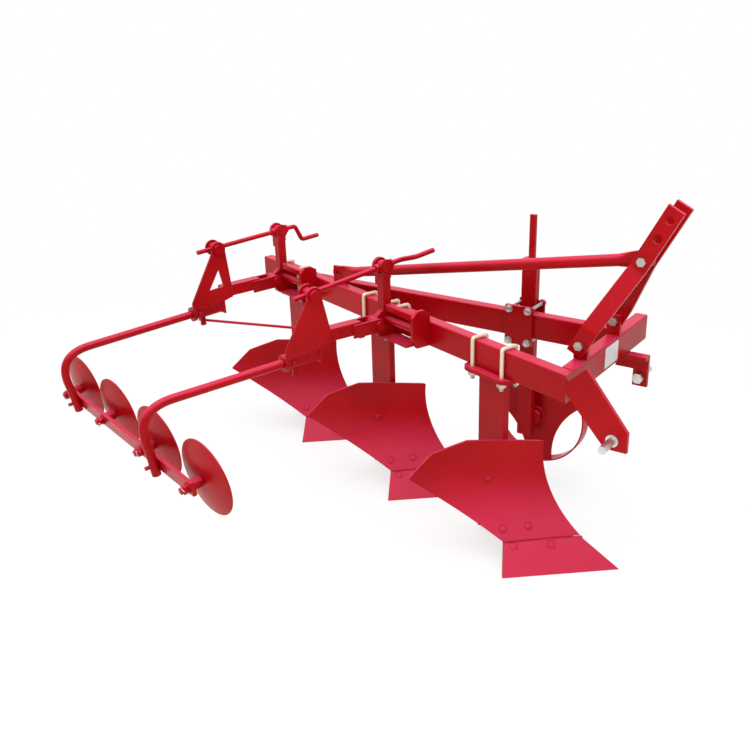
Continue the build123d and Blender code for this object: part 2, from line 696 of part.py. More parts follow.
for arm in adjusters:
    at = arm["at"]
    screw_start = across(at).from_local_coords(Vector(*post_trunnion))
    screw_end = arm_side(arm).from_local_coords(Vector(*arm["eye"]))
    screw_way = (screw_end - screw_start).normalized()
    screw_up = rearward.cross(screw_way)
    arm["screw_start"], arm["screw_end"] = screw_start, screw_end

    with BuildPart() as bracket:
        with BuildSketch(across(at, -30)):
            with Locations((plate / 2, -35)):
                Rectangle(plate, 90)
        extrude(amount=60)
        ribs = ((-near_rib_width / 2, near_rib_width, near_rib), (-rail_length, plate, far_rib))
        for start, length, outline in ribs:
            with BuildSketch(across(at, start)):
                with BuildLine():
                    Polyline(*outline, close=True)
                make_face()
            extrude(amount=length)
        with BuildSketch(across(at, -rail_length)):
            with Locations(rail_places[0]):
                RectangleRounded(*rail_size, 4)
            with Locations(rail_places[1]):
                Circle(rail_size[0] / 2)
        extrude(amount=rail_length)
        with BuildSketch(across(at, -arm_post_size / 2)):
            with Locations((post_trunnion[0], post_reach / 2)):
                Rectangle(arm_post_size, post_reach)
        extrude(amount=arm_post_size)
        with BuildSketch(across(at, trunnion_half + trunnion_gap)):
            with Locations((post_trunnion[0], post_trunnion[1] - 30)):
                Rectangle(arm_post_size, 60)
            with Locations(post_trunnion):
                Circle(post_eye_radius)
        extrude(amount=eye_thickness)
        rod_between(across(at, -knuckle_width / 2), [pivot], knuckle_radius, knuckle_width)
        rod_between(across(at, -60), [pivot], arm_pivot_radius, 120, Mode.SUBTRACT)
        rod_between(across(at), [post_trunnion], trunnion_pin_radius + fit, 60, Mode.SUBTRACT)
    finish(bracket.part, f"adjuster_bracket_{arm['name']}")

    with BuildPart() as post_pivot:
        pin_reach = trunnion_gap + eye_thickness + 8
        rod_between(across(at, -trunnion_half), [post_trunnion], trunnion_radius, 2 * trunnion_half)
        rod_between(across(at, trunnion_half), [post_trunnion], trunnion_pin_radius, pin_reach)
        rod_between(across(at, trunnion_half + pin_reach - 7), [post_trunnion], trunnion_radius, 6)
        screw_seat = Plane(origin=screw_start, z_dir=screw_way).offset(-60)
        rod_between(screw_seat, [(0, 0)], screw_radius, 120, Mode.SUBTRACT)
    finish(post_pivot.part, f"post_trunnion_{arm['name']}")

    with BuildPart() as arm_pivot:
        head = web_front - trunnion_gap / 2
        rod_between(arm_side(arm, -trunnion_half), [arm["eye"]], trunnion_radius, 2 * trunnion_half)
        rod_between(arm_side(arm, head), [arm["eye"]], trunnion_pin_radius, -trunnion_half - head)
        rod_between(arm_side(arm, head), [arm["eye"]], trunnion_radius, -8)
        screw_hole = Plane(origin=screw_end, z_dir=screw_way).offset(-60)
        rod_between(screw_hole, [(0, 0)], screw_hole_radius, 120, Mode.SUBTRACT)
    finish(arm_pivot.part, f"arm_trunnion_{arm['name']}")

    with BuildPart() as crank:
        turn = radians(arm["grip_turn"])
        inner = screw_start - screw_way * screw_tail
        elbow = inner - screw_way * crank_set + (screw_up * sin(turn) - rearward * cos(turn)) * crank_throw
        with BuildLine() as bend:
            tip = screw_start + screw_way * screw_reach
            FilletPolyline(tip, inner, elbow, elbow - screw_way * crank_grip, radius=crank_bend)
        with BuildSketch(Plane(origin=bend.line @ 0, z_dir=bend.line % 0)):
            Circle(screw_radius)
        sweep(path=bend.line)
        for side in (-1, 1):
            collar = screw_start + screw_way * side * (trunnion_radius + trunnion_gap)
            rod_between(Plane(origin=collar, z_dir=screw_way), [(0, 0)], screw_collar_radius, side * 12)
    finish(crank.part, f"crank_screw_{arm['name']}")

    with BuildPart() as frame:
        for side in (-1, 1):
            with BuildSketch(arm_side(arm, side * square_tube / 2)):
                with Locations((48, 0)):
                    Rectangle(96, 2 * knuckle_radius)
                Circle(knuckle_radius)
                if side == 1 and arm is adjusters[0]:
                    with Locations(tie_tab):
                        Rectangle(20, 28)
                Circle(arm_pivot_radius + fit, mode=Mode.SUBTRACT)
            extrude(amount=side * cheek_thickness)
        with BuildSketch(arm_side(arm, -square_tube / 2)):
            with Locations((sum(tube_span) / 2, tube_middle)):
                Rectangle(tube_span[1] - tube_span[0], square_tube)
        extrude(amount=square_tube)
        with BuildSketch(arm_side(arm, web_front)):
            with BuildLine():
                eye_x, eye_y = arm["eye"]
                Polyline(*web_outline, *[(eye_x + x, eye_y + y) for x, y in web_shoulders], close=True)
            make_face()
            with Locations(arm["eye"]):
                Circle(arm_eye_radius)
            if arm is adjusters[1]:
                with BuildLine():
                    Polyline(*window_outline, close=True)
                make_face(mode=Mode.SUBTRACT)
            else:
                with Locations(window_hole):
                    Circle(window_hole_radius, mode=Mode.SUBTRACT)
            with Locations(arm["eye"]):
                Circle(trunnion_pin_radius + fit, mode=Mode.SUBTRACT)
        extrude(amount=web_thickness)
        sleeve_start, sleeve_way = arm_tube_path[0], Vector(*arm_tube_path[1]) - Vector(*arm_tube_path[0])
        with BuildSketch(arm_side(arm, -sleeve_radius - 4)):
            with Locations((sleeve_start[0], tube_middle - square_tube / 2 - end_plate_height / 2)):
                Rectangle(8, end_plate_height)
        extrude(amount=2 * sleeve_radius + 8)
        bore = Plane(origin=arm_side(arm).from_local_coords(Vector(*sleeve_start)),
                     z_dir=arm_side(arm).from_local_coords(sleeve_way) - arm_side(arm).origin)
        rod_between(bore, [(0, 0)], sleeve_radius, sleeve_length)
        rod_between(bore.offset(sleeve_length - collar_width / 2), [(0, 0)], collar_radius, collar_width)
        with BuildSketch(arm_side(arm, -6)):
            with Locations(tie_lug):
                Rectangle(*tie_lug_size)
        extrude(amount=12)
        rod_between(bore.offset(-20), [(0, 0)], arm_tube_radius, sleeve_length + 40, Mode.SUBTRACT)
        rod_between(tie_plane.offset(-40), [(0, 0)], tie_radius, tie_length + 80, Mode.SUBTRACT)
    finish(frame.part, f"arm_frame_{arm['name']}")

with BuildPart() as pins:
    for arm in adjusters:
        half = square_tube / 2 + cheek_thickness
        rod_between(across(arm["at"], -half - 8), [pivot], arm_pivot_radius, 2 * half + 16)
        rod_between(across(arm["at"], -half - 8), [pivot], arm_pivot_radius + 5, 7)
        rod_between(across(arm["at"], half + 1), [pivot], arm_pivot_radius + 5, 7)
finish(pins.part, "arm_pivot_pins")

with BuildPart() as tie:
    rod_between(tie_plane, [(0, 0)], tie_radius, tie_length)
finish(tie.part, "tie_rod")

# Gang: a flat bar across the arm tubes' ends with four dished discs, their axles toed towards the travel
gang_tilt = 8
gang_bar_width = 40
gang_bar_thickness = 12
gang_bar_overhang = 24   # past the outer axles
first_disc = -198        # along the bar from the front tube
disc_spacing = 318
disc_count = 4
disc_radius = 115
disc_dish = 16
disc_thickness = 4
disc_reach = 66          # from the bar's middle to the disc's centre
disc_toe = 6
disc_axle_radius = 10
disc_hub_radius = 22
disc_hub_length = 42
tube_flat = 1.5          # ground off the tube where it seats on the bar
gang_bolt_radius = 6

tilt_sin = sin(radians(gang_tilt))
tilt_cos = cos(radians(gang_tilt))
seats = []
for arm in adjusters:
    upper, lower = tube_points(arm)[2:]
    seats.append(upper + (lower - upper) * bar_seat)
gang_along = (seats[1] - seats[0]).normalized()
lean_face = outward * -tilt_cos + up * tilt_sin
gang_face = (lean_face - gang_along * lean_face.dot(gang_along)).normalized()
gang_origin = seats[0] + gang_face * (arm_tube_radius - tube_flat + gang_bar_thickness / 2)
toe_sin = sin(radians(disc_toe))
toe_cos = cos(radians(disc_toe))
disc_axis = gang_face * toe_cos + gang_along * toe_sin
disc_side = gang_along * toe_cos - gang_face * toe_sin
disc_stations = [first_disc + k * disc_spacing for k in range(disc_count)]
bar_middle = (disc_stations[0] + disc_stations[-1]) / 2
bar_length = disc_stations[-1] - disc_stations[0] + 2 * gang_bar_overhang
tube_stations = [0, (seats[1] - seats[0]).length]


def gang_plane(station, distance=0.0):
    """Parallel to the gang bar's faces: local x runs along the bar, it faces the beam."""
    origin = gang_origin + gang_along * station + gang_face * distance
    return Plane(origin=origin, x_dir=gang_along, z_dir=gang_face)


def disc_plane(station, distance=0.0):
    """Square to a disc's axle."""
    origin = gang_origin + gang_along * station + disc_axis * distance
    return Plane(origin=origin, x_dir=disc_side, z_dir=disc_axis)


def bar_slab(depth, mode):
    with BuildSketch(gang_plane(bar_middle, -gang_bar_thickness / 2)) as slab:
        Rectangle(2 * bar_length, 3 * gang_bar_width)
    extrude(slab.sketch, amount=depth, mode=mode)


with BuildPart() as gang_bar:
    with BuildSketch(gang_plane(bar_middle, -gang_bar_thickness / 2)):
        Rectangle(bar_length, gang_bar_width)
    extrude(amount=gang_bar_thickness)
    for station in disc_stations:
        rod_between(disc_plane(station, -30), [(0, 0)], disc_axle_radius, 60, Mode.SUBTRACT)
    for station in tube_stations:
        rod_between(gang_plane(station, -30), [(0, 0)], gang_bolt_radius, 60, Mode.SUBTRACT)
finish(gang_bar.part, "gang_bar")

with BuildPart() as tubes:
    for arm in adjusters:
        with BuildLine() as bend:
            FilletPolyline(*tube_points(arm), radius=arm_tube_bend)
        with BuildSketch(Plane(origin=bend.line @ 0, z_dir=bend.line % 0)):
            Circle(arm_tube_radius)
        sweep(path=bend.line)
    bar_slab(2 * arm_tube_radius, Mode.SUBTRACT)
    for station in tube_stations:
        rod_between(gang_plane(station, gang_bar_thickness), [(0, 0)], gang_bolt_radius, -60, Mode.SUBTRACT)
finish(tubes.part, "arm_tubes")

with BuildPart() as gang_bolts:
    for station in tube_stations:
        rod_between(gang_plane(station, gang_bar_thickness / 2 + 10), [(0, 0)], gang_bolt_radius,
                    -(gang_bar_thickness + 10 + 2 * arm_tube_radius + 12))
        with BuildSketch(gang_plane(station, gang_bar_thickness / 2)):
            RegularPolygon(9, 6)
        extrude(amount=9)
finish(gang_bolts.part, "gang_bolts")

with BuildPart() as axles:
    for station in disc_stations:
        rod_between(disc_plane(station), [(0, 0)], 14, -gang_bar_thickness / 2 - 14)
        rod_between(disc_plane(station), [(0, 0)], 16, gang_bar_thickness / 2 + 10)
    bar_slab(gang_bar_thickness, Mode.SUBTRACT)
    for station in disc_stations:
        rod_between(disc_plane(station, -gang_bar_thickness / 2 - 24), [(0, 0)], disc_axle_radius,
                    gang_bar_thickness / 2 + 24 + disc_reach + 12)
        rod_between(disc_plane(station, disc_reach + 5), [(0, 0)], 17, 7)
finish(axles.part, "disc_axles")

for k, station in enumerate(disc_stations):
    centre = disc_plane(station, disc_reach).origin
    with BuildPart() as disc:
        with BuildSketch(Plane(origin=centre, x_dir=disc_side, z_dir=disc_side.cross(disc_axis))):
            with BuildLine():
                bore = disc_axle_radius + fit
                middle = 0.65 * disc_radius, -0.38 * disc_dish
                Polyline((bore, -disc_hub_length), (disc_hub_radius, -disc_hub_length), (disc_hub_radius, -4))
                ThreePointArc((disc_hub_radius, -4), (middle[0], middle[1] - 4), (disc_radius, -disc_dish))
                Line((disc_radius, -disc_dish), (disc_radius, disc_thickness - disc_dish))
                ThreePointArc((disc_radius, disc_thickness - disc_dish), middle, (disc_hub_radius, 0))
                Polyline((disc_hub_radius, 0), (disc_hub_radius, 4), (bore, 4), (bore, -disc_hub_length))
            make_face()
        revolve(axis=Axis(origin=centre, direction=disc_axis))
    finish(disc.part, f"disc_{k + 1}")
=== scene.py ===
import bpy
import bmesh
import math
from mathutils import Matrix, Vector
from mathutils.bvhtree import BVHTree


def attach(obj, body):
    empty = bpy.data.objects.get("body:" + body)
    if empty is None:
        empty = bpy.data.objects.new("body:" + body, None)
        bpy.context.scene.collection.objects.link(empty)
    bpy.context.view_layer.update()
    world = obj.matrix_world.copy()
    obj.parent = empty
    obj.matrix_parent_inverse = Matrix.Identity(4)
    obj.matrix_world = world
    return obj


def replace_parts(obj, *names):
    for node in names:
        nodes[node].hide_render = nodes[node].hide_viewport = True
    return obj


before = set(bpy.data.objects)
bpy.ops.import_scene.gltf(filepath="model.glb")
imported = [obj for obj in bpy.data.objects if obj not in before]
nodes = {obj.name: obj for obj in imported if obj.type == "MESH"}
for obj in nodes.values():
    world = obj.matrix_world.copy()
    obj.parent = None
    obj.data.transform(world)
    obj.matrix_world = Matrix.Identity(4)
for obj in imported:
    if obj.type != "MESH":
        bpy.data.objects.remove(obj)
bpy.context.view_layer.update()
print("frame loaded:", len(nodes), "nodes")

# Where the frame's right front corner lies; the same places as in the part's source, in metres
plough = {
    "front": 0.79749,
    "right": 0.03056,
    "beamTop": 0.625,
    "beamAngle": 18.7,
    "legs": (0.297, 0.852, 1.407),
    "bodies": 3,
    "bodySpacing": 0.555,
    "tipAhead": 0.131,
    "tipInside": 0.146,
    "shareAngle": 40.8,
    "shareSlope": 40,
}
beamTurn = math.radians(plough["beamAngle"])
rearward = Vector((-math.cos(beamTurn), math.sin(beamTurn), 0))
outward = Vector((-math.sin(beamTurn), -math.cos(beamTurn), 0))
up = Vector((0, 0, 1))


def besideBeam(along, out, height):
    corner = Vector((plough["front"], plough["right"], plough["beamTop"] + height))
    return corner + rearward * along + outward * out


# Camera at the photo's viewing point
view = {
    "place": (1.6625, -1.9454, 1.499),
    "azimuth": 125.8,
    "pitch": 21.9,
    "roll": -1.5,
    "lens": 42.53,
    "sensor": 36,
    "shift": (-0.020, -0.0053),
}


def makeCamera():
    lens = bpy.data.cameras.new("camera")
    lens.lens = view["lens"]
    lens.sensor_width = view["sensor"]
    lens.shift_x, lens.shift_y = view["shift"]
    camera = bpy.data.objects.new("camera", lens)
    turn, dip, roll = (math.radians(view[key]) for key in ("azimuth", "pitch", "roll"))
    ahead = Vector((math.cos(dip) * math.cos(turn), math.cos(dip) * math.sin(turn), -math.sin(dip)))
    side = Vector((math.sin(turn), -math.cos(turn), 0))
    top = side.cross(ahead)
    rolledSide = side * math.cos(roll) + top * math.sin(roll)
    rolledTop = top * math.cos(roll) - side * math.sin(roll)
    place = Matrix((rolledSide, rolledTop, -ahead)).transposed().to_4x4()
    place.translation = view["place"]
    camera.matrix_world = place
    bpy.context.scene.collection.objects.link(camera)
    bpy.context.scene.camera = camera


makeCamera()
bpy.context.scene.view_settings.view_transform = "Standard"
print("camera ready")


# A shader socket that takes part in sums, and the shader it belongs to
class Value:
    def __init__(self, shader, socket):
        self.shader = shader
        self.socket = socket

    def sum(self, operation, first, second):
        return self.shader.node("ShaderNodeMath", {"operation": operation}, {0: first, 1: second})

    def __add__(self, other):
        return self.sum("ADD", self, other)

    __radd__ = __add__

    def __sub__(self, other):
        return self.sum("SUBTRACT", self, other)

    def __rsub__(self, other):
        return self.sum("SUBTRACT", other, self)

    def __mul__(self, other):
        return self.sum("MULTIPLY", self, other)

    __rmul__ = __mul__


# The nodes of one material, or of the sky
class Shader:
    def __init__(self, owner):
        owner.use_nodes = True
        self.owner = owner
        self.tree = owner.node_tree

    def put(self, node, inputs):
        for key, value in inputs.items():
            if isinstance(value, Value):
                self.tree.links.new(value.socket, node.inputs[key])
            else:
                node.inputs[key].default_value = value

    def node(self, kind, settings=None, inputs=None, out=0):
        made = self.tree.nodes.new(kind)
        for key, value in (settings or {}).items():
            setattr(made, key, value)
        self.put(made, inputs or {})
        return Value(self, made.outputs[out])

    def noise(self, scale, detail, roughness=0.5, stretch=None):
        place = self.node("ShaderNodeTexCoord", out="Object")
        if stretch:
            place = self.node("ShaderNodeMapping", None, {"Vector": place, "Scale": stretch})
        return self.node("ShaderNodeTexNoise", None,
                         {"Vector": place, "Scale": scale, "Detail": detail, "Roughness": roughness})

    def between(self, value, low, high):
        return self.node("ShaderNodeMapRange", {"clamp": True, "interpolation_type": "SMOOTHSTEP"},
                         {"Value": value, "From Min": low, "From Max": high})

    def blend(self, factor, first, second):
        first, second = ((*value, 1) if isinstance(value, tuple) else value for value in (first, second))
        return self.node("ShaderNodeMix", {"data_type": "RGBA"}, {0: factor, 6: first, 7: second}, out=2)

    def relief(self, height, distance, strength):
        return self.node("ShaderNodeBump", None, {"Height": height, "Distance": distance, "Strength": strength})

    def feed(self, **sockets):
        names = {"colour": "Base Color", "roughness": "Roughness", "metal": "Metallic", "normal": "Normal",
                 "coat": "Coat Weight", "coatRoughness": "Coat Roughness", "gloss": "Specular IOR Level"}
        self.put(self.tree.nodes["Principled BSDF"], {names[key]: value for key, value in sockets.items()})
        return self.owner


# Glossy red enamel over steel: a little orange peel, thin dust, small rubs, and a painted sheen that makes the
# colour paler pink on faces towards the sky, standing in for the sky's reflection
redEnamel = {
    "thin": (0.40, 0.0022, 0.0050),
    "deep": (0.31, 0.0010, 0.0026),
    "dust": (0.40, 0.030, 0.040),
    # Colour of the painted sky reflection, how much of it shows, and the upward facing over which it fades in
    "skySheen": (0.60, 0.030, 0.085),
    "skySheenShare": 0.75,
    "skySheenFacing": (0.30, 0.80),
    "roughness": 0.26,
    "gloss": 0.10,
    "coat": 0.03,
    "coatRoughness": 0.1,
}
boardEnamel = {**redEnamel, "roughness": 0.30, "skySheenFacing": (0.16, 0.56)}
# Dark red for the painted shade in the grooves round the board bolts
grooveShadeEnamel = {**redEnamel, "thin": (0.16, 0.002, 0.004), "deep": (0.11, 0.001, 0.003), "skySheenShare": 0.25}
discEnamel = {**redEnamel, "roughness": 0.30}
blankLabel = {
    "thin": (0.66, 0.66, 0.66),
    "deep": (0.58, 0.58, 0.58),
    "dust": (0.45, 0.42, 0.40),
    "skySheen": (0.66, 0.66, 0.66),
    "skySheenShare": 0,
    "skySheenFacing": (0.30, 0.80),
    "roughness": 0.35,
    "gloss": 0.4,
    "coat": 0.2,
    "coatRoughness": 0.2,
}
# Noise scale, detail and roughness of each pattern, and the band of it that shows
enamelGrain = {
    "clouds": (3.5, 4),
    "cloudBand": (0.32, 0.68),
    "streaks": (22, 5, 0.62),
    "peel": (420, 1),
    "fine": (90, 4, 0.6),
    "dustBand": (0.50, 0.72),
    "rubs": (60, 6, 0.7, (1, 1, 0.35)),
    "rubBand": (0.66, 0.74),
    "rubbed": (0.30, 0.030, 0.032),
    "skySheenDrift": 0.12,
    "relief": (0.0006, 0.35),
}


def enamel(name, look, dustShare, rubs=0.0):
    finish = Shader(bpy.data.materials.new(name))
    clouds = finish.noise(*enamelGrain["clouds"])
    streaks = finish.noise(*enamelGrain["streaks"])
    peel = finish.noise(*enamelGrain["peel"])
    fine = finish.noise(*enamelGrain["fine"])
    paint = finish.blend(finish.between(clouds, *enamelGrain["cloudBand"]), look["deep"], look["thin"])
    facing = finish.node("ShaderNodeSeparateXYZ", None,
                         {0: finish.node("ShaderNodeNewGeometry", out="Normal")}, out="Z")
    # Painted sheen: faces turned up get a paler pink as a painted reflection of the sky, its edge shifted a little
    # by the clouds noise
    drift = (clouds - 0.5) * enamelGrain["skySheenDrift"]
    skySheen = finish.between(facing + drift, *look["skySheenFacing"]) * look["skySheenShare"]
    paint = finish.blend(skySheen, paint, look["skySheen"])
    dust = finish.between(streaks * 0.6 + fine * 0.4, *enamelGrain["dustBand"]) * dustShare
    paint = finish.blend(dust, paint, look["dust"])
    rubbed = finish.between(finish.noise(*enamelGrain["rubs"]), *enamelGrain["rubBand"]) * rubs
    paint = finish.blend(rubbed, paint, enamelGrain["rubbed"])
    rough = look["roughness"] + dust * 0.9 + rubbed * 0.25 + clouds * 0.08
    relief = finish.relief(peel * 0.5 + clouds * 2 + fine * 0.25, *enamelGrain["relief"])
    return finish.feed(colour=paint, roughness=rough, coat=look["coat"], coatRoughness=look["coatRoughness"],
                       gloss=look["gloss"], normal=relief)


# Plated bolts, nuts and pins: grey with a faint warm bloom and a little grime
zincPlate = {"grey": (0.48, 0.47, 0.45), "bloom": (0.50, 0.44, 0.34), "roughness": 0.30}
creamPlate = {"grey": (0.72, 0.60, 0.44), "bloom": (0.80, 0.70, 0.55), "roughness": 0.38}
brightSteel = {"grey": (0.62, 0.61, 0.60), "bloom": (0.55, 0.52, 0.48), "roughness": 0.33}
# Near black for the painted shade inside the hole of each arm tube, kept with the plated looks
holeShadeDark = {"grey": (0.10, 0.09, 0.09), "bloom": (0.16, 0.12, 0.10), "roughness": 0.42}
plateGrain = {
    "bloom": (70, 3),
    "bloomBand": (0.35, 0.7),
    "bloomShare": 0.6,
    "grime": (190, 5, 0.65),
    "grimeBand": (0.55, 0.8),
    "grimeShare": 0.45,
    "grimy": (0.12, 0.10, 0.09),
    "fine": (900, 2),
    "relief": (0.0002, 0.4),
}


def plated(name, look, metal):
    finish = Shader(bpy.data.materials.new(name))
    bloom = finish.between(finish.noise(*plateGrain["bloom"]), *plateGrain["bloomBand"])
    grime = finish.between(finish.noise(*plateGrain["grime"]), *plateGrain["grimeBand"])
    colour = finish.blend(bloom * plateGrain["bloomShare"], look["grey"], look["bloom"])
    colour = finish.blend(grime * plateGrain["grimeShare"], colour, plateGrain["grimy"])
    rough = look["roughness"] + grime * 0.25 + bloom * 0.08
    relief = finish.relief(finish.noise(*plateGrain["fine"]), *plateGrain["relief"])
    return finish.feed(colour=colour, metal=metal, roughness=rough, normal=relief)


finishes = {
    "frameRed": enamel("frameRed", redEnamel, 0.10),
    "boardRed": enamel("boardRed", boardEnamel, 0.14, 0.4),
    "grooveShadeRed": enamel("grooveShadeRed", grooveShadeEnamel, 0.3),
    "discRed": enamel("discRed", discEnamel, 0.16, 0.35),
    "zinc": plated("zinc", zincPlate, 0.9),
    "cream": plated("cream", creamPlate, 0.35),
    "bright": plated("bright", brightSteel, 1.0),
    # The thread finish is used only for the dark disc of painted shade that stands for each arm tube's hole
    "thread": plated("thread", holeShadeDark, 0.7),
    "label": enamel("label", blankLabel, 0.3),
}
nodeFinishes = (
    ("hitch_pin", "bright"),
    ("mast_foot_bolts", "zinc"),
    ("mast_brace_bolt", "zinc"),
    ("leg_u_bolts", "cream"),
    ("mouldboard", "boardRed"),
    ("share", "boardRed"),
    ("disc_", "discRed"),
)
for nodeName, piece in nodes.items():
    finishName = next((look for start, look in nodeFinishes if nodeName.startswith(start)), "frameRed")
    piece.data.materials.clear()
    piece.data.materials.append(finishes[finishName])
print("finishes made:", len(finishes))


# Pale floor that shades only a little, and soft light from all round; each lamp has a place, size and power
studio = {
    "floorSize": 60,
    "floorHeight": -0.0005,
    "floorColour": (0.92, 0.92, 0.92, 1),
    "floorShade": 0.30,
    "shadeFade": (1.5, 3.2),
    "white": (1, 1, 1, 1),
    "sky": 0.72,
    "aim": (0, 0, 0.4),
    "lamps": (((0.2, -0.2, 3.6), 3.6, 105), ((2.8, -2.6, 2.6), 2.2, 26), ((-2.8, -1.5, 2.4), 2.4, 14)),
}


def makeFloor():
    bpy.ops.mesh.primitive_plane_add(size=studio["floorSize"], location=(0, 0, studio["floorHeight"]))
    floor = bpy.context.object
    floor.name = "floor"
    paint = Shader(bpy.data.materials.new("floor"))
    shade = paint.node("ShaderNodeBsdfDiffuse", None, {"Color": studio["floorColour"]})
    glow = paint.node("ShaderNodeEmission", None, {"Color": studio["white"], "Strength": 1.0})
    rays = paint.node("ShaderNodeLightPath", out="Is Camera Ray")
    place = paint.node("ShaderNodeNewGeometry", out="Position")
    away = paint.node("ShaderNodeVectorMath", {"operation": "LENGTH"}, {0: place}, out="Value")
    near = 1 - paint.between(away, *studio["shadeFade"])
    mixed = paint.node("ShaderNodeMixShader", None,
                       {0: 1 - rays * (1 - near * studio["floorShade"]), 1: glow, 2: shade})
    paint.put(paint.tree.nodes["Material Output"], {"Surface": mixed})
    floor.data.materials.append(paint.owner)


def makeSky():
    world = bpy.data.worlds.new("sky")
    bpy.context.scene.world = world
    sky = Shader(world)
    direct, mirrored = (sky.node("ShaderNodeLightPath", out=ray) for ray in ("Is Camera Ray", "Is Glossy Ray"))
    seen = direct.sum("MAXIMUM", direct, mirrored)
    strength = studio["sky"] + (1 - studio["sky"]) * seen
    sky.put(sky.tree.nodes["Background"], {"Color": studio["white"], "Strength": strength})


def makeLamps():
    for index, (place, size, power) in enumerate(studio["lamps"]):
        lamp = bpy.data.lights.new("lamp%d" % index, "AREA")
        lamp.size = size
        lamp.energy = power
        holder = bpy.data.objects.new("lamp%d" % index, lamp)
        holder.location = place
        holder.rotation_euler = (Vector(studio["aim"]) - Vector(place)).to_track_quat("-Z", "Y").to_euler()
        bpy.context.scene.collection.objects.link(holder)


makeFloor()
makeSky()
makeLamps()
print("studio ready")


# Helpers: each adds one form to a mesh, at a matrix whose Z is the form's own axis
def seat(place, axis, turn=0.0):
    spin = axis.normalized().to_track_quat("Z", "Y").to_matrix().to_4x4()
    return Matrix.Translation(place) @ spin @ Matrix.Rotation(turn, 4, "Z")


def axisOf(matrix):
    return matrix.to_3x3() @ Vector((0, 0, 1))


def addRound(mesh, matrix, radius, start, end, segments=24, edge=0.0):
    middle = matrix @ Matrix.Translation((0, 0, (start + end) / 2))
    made = bmesh.ops.create_cone(mesh, cap_ends=True, segments=segments, radius1=radius, radius2=radius,
                                 depth=abs(end - start), matrix=middle)
    if edge:
        inverse = matrix.inverted()
        links = {link for vert in made["verts"] for link in vert.link_edges}
        rims = [link for link in links
                if abs((inverse @ link.verts[0].co).z - (inverse @ link.verts[1].co).z) < 1e-6]
        bmesh.ops.bevel(mesh, geom=rims, offset=edge, affect="EDGES", segments=2, profile=0.5, material=-1)


def addTurned(mesh, matrix, corners, segments):
    verts = [mesh.verts.new(matrix @ Vector((out, 0, along))) for out, along in corners]
    edges = [mesh.edges.new((verts[index], verts[index - 1])) for index in range(len(verts))]
    bmesh.ops.spin(mesh, geom=verts + edges, cent=matrix.translation, axis=axisOf(matrix),
                   angle=math.tau, steps=segments, use_merge=True)


def addRing(mesh, matrix, inner, outer, start, end, segments):
    addTurned(mesh, matrix, ((inner, start), (outer, start), (outer, end), (inner, end)), segments)


# A chamfered hexagon with a round face; the chamfer and the face are shares of its height and width
hexShape = {"chamfer": 0.1, "face": 0.48, "sunk": 0.0002, "proud": 0.0006, "faceEdge": 0.0003}


def addHex(mesh, matrix, width, start, end):
    corner = width / 2 / math.cos(math.radians(30))
    addRound(mesh, matrix, corner, start, end, 6, abs(end - start) * hexShape["chamfer"])
    addRound(mesh, matrix, width * hexShape["face"], end - hexShape["sunk"], end + hexShape["proud"],
             edge=hexShape["faceEdge"])


thread = {"pitch": 0.00175, "depth": 0.45, "stepsPerTurn": 14, "leastSteps": 12}


def addThread(mesh, matrix, radius, start, end):
    pitch = thread["pitch"]
    turns = (end - start) / pitch - 0.5
    root = radius - pitch * thread["depth"]
    corners = ((root, start), (radius, start + pitch / 2), (root, start + pitch))
    verts = [mesh.verts.new(matrix @ Vector((out, 0, along))) for out, along in corners]
    edges = [mesh.edges.new(pair) for pair in zip(verts, verts[1:])]
    axis = axisOf(matrix)
    steps = max(thread["leastSteps"], int(turns * thread["stepsPerTurn"]))
    bmesh.ops.spin(mesh, geom=verts + edges, cent=matrix.translation, axis=axis,
                   dvec=axis * (pitch * turns / steps), angle=math.tau * turns, steps=steps)


def addSweep(mesh, path, radius, segments, ripple=0.0):
    ring = bmesh.ops.create_circle(mesh, cap_ends=True, segments=segments, radius=1)["verts"]
    heading = (path[1] - path[0]).normalized()
    bmesh.ops.transform(mesh, matrix=seat(path[0], heading) @ Matrix.Scale(radius, 4), verts=ring)
    edges = list({edge for vert in ring for edge in vert.link_edges})
    last = len(path) - 1
    for index in range(1, len(path)):
        if index == last:
            aim = path[last] - path[last - 1]
        else:
            aim = ((path[index + 1] - path[index]).normalized() + heading).normalized()
        bend = heading.rotation_difference(aim)
        grown = bmesh.ops.extrude_edge_only(mesh, edges=edges)["geom"]
        ring = [item for item in grown if isinstance(item, bmesh.types.BMVert)]
        edges = [item for item in grown if isinstance(item, bmesh.types.BMEdge)
                 and item.verts[0] in ring and item.verts[1] in ring]
        turn = Matrix.Translation(path[index]) @ bend.to_matrix().to_4x4() @ Matrix.Translation(-path[index - 1])
        bmesh.ops.transform(mesh, matrix=turn, verts=ring)
        heading = bend @ heading
        if ripple:
            size = 1 + ripple * (1 if index % 2 else -1 / (1 + ripple))
            centre = Matrix.Translation(path[index])
            bmesh.ops.transform(mesh, matrix=centre @ Matrix.Scale(size, 4) @ centre.inverted(), verts=ring)
    bmesh.ops.contextual_create(mesh, geom=edges)


def roundedPath(corners, reaches, steps):
    path = [corners[0]]
    for before, corner, after, reach in zip(corners, corners[1:], corners[2:], reaches):
        first = corner + (before - corner).normalized() * reach
        last = corner + (after - corner).normalized() * reach
        for index in range(steps + 1):
            share = index / steps
            path.append(first.lerp(corner, share).lerp(corner.lerp(last, share), share))
    return path + [corners[-1]]


def addPlate(mesh, matrix, outlines, start, thickness):
    corners = {}
    for outline in outlines:
        for point in outline:
            if point not in corners:
                corners[point] = mesh.verts.new(matrix @ Vector((point[0], point[1], start)))
    faces = [mesh.faces.new([corners[point] for point in outline]) for outline in outlines]
    grown = bmesh.ops.extrude_face_region(mesh, geom=faces, use_keep_orig=True)["geom"]
    moved = [item for item in grown if isinstance(item, bmesh.types.BMVert)]
    bmesh.ops.translate(mesh, verts=moved, vec=axisOf(matrix) * thickness)


